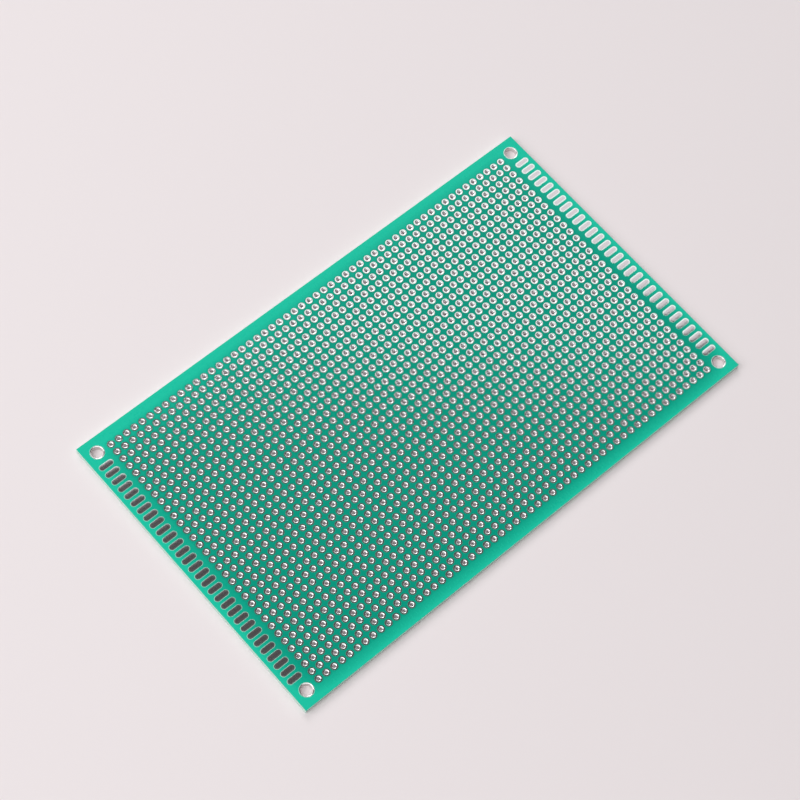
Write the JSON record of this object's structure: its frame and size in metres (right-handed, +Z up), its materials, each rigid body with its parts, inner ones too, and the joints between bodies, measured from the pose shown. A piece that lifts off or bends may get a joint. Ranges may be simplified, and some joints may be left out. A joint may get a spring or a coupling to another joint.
{
  "type": "bare circuit board",
  "caption": "Rectangular double-sided prototype circuit board with a grid of plated holes, solder fingers along both ends and a plated mounting hole in each corner.",
  "frame": {"origin": "middle of the underside, on the plane that the corner rings and the rims of the holes rest on", "axes": "+X along the length, +Y across the width, +Z up through the board"},
  "size_m": [0.15, 0.09, 0.0017],
  "materials": {
    "laminate": "matt glass-fibre laminate",
    "solder_mask": "glossy green solder mask",
    "tinned_copper": "bright solder over copper"
  },
  "bodies": {
    "root": {"laminate": "laminate", "solder_mask_top": "solder_mask", "solder_mask_bottom": "solder_mask", "plated_holes_front_left": "tinned_copper", "plated_holes_front_centre": "tinned_copper", "plated_holes_front_right": "tinned_copper", "plated_holes_middle_left": "tinned_copper", "plated_holes_middle_centre": "tinned_copper", "plated_holes_middle_right": "tinned_copper", "plated_holes_back_left": "tinned_copper", "plated_holes_back_centre": "tinned_copper", "plated_holes_back_right": "tinned_copper", "fingers_top_left": "tinned_copper", "fingers_top_right": "tinned_copper", "fingers_bottom_left": "tinned_copper", "fingers_bottom_right": "tinned_copper", "mount_front_left": "tinned_copper", "mount_front_right": "tinned_copper", "mount_back_left": "tinned_copper", "mount_back_right": "tinned_copper"}
  },
  "joints": []
}
